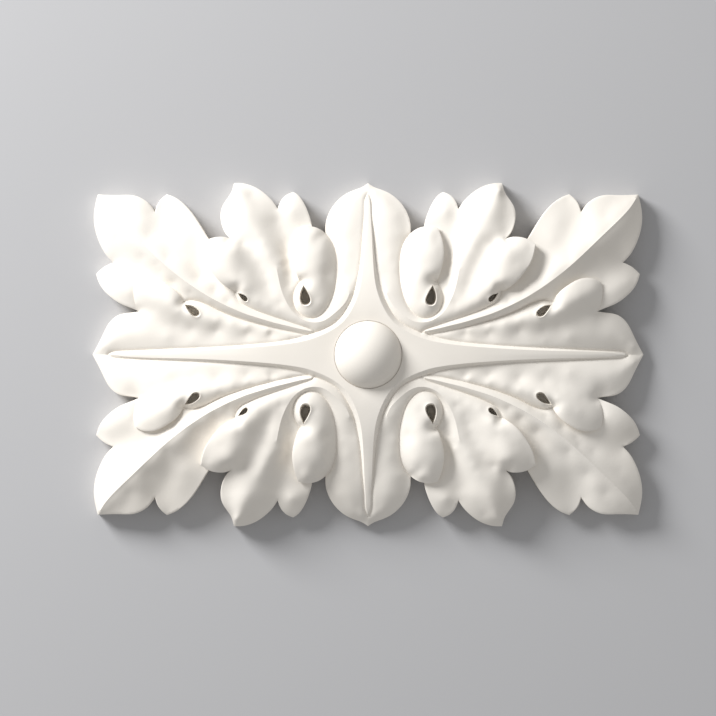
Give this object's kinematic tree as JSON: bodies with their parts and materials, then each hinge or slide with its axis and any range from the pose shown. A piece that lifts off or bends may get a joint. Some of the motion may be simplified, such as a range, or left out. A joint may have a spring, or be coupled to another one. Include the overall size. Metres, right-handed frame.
{
  "type": "ceiling rosette",
  "caption": "Oblong cast plaster ceiling rosette with acanthus leaves, a four-pointed star and a round boss.",
  "frame": {"origin": "centre of the flat back face, which lies against the ceiling or wall", "axes": "+X along the length, +Y along the width, +Z out of the ceiling or wall through the relief to the boss"},
  "size_m": [0.4, 0.249, 0.0545],
  "materials": {
    "plaster": "matte"
  },
  "bodies": {
    "root": {"rosette": "plaster"}
  },
  "joints": []
}
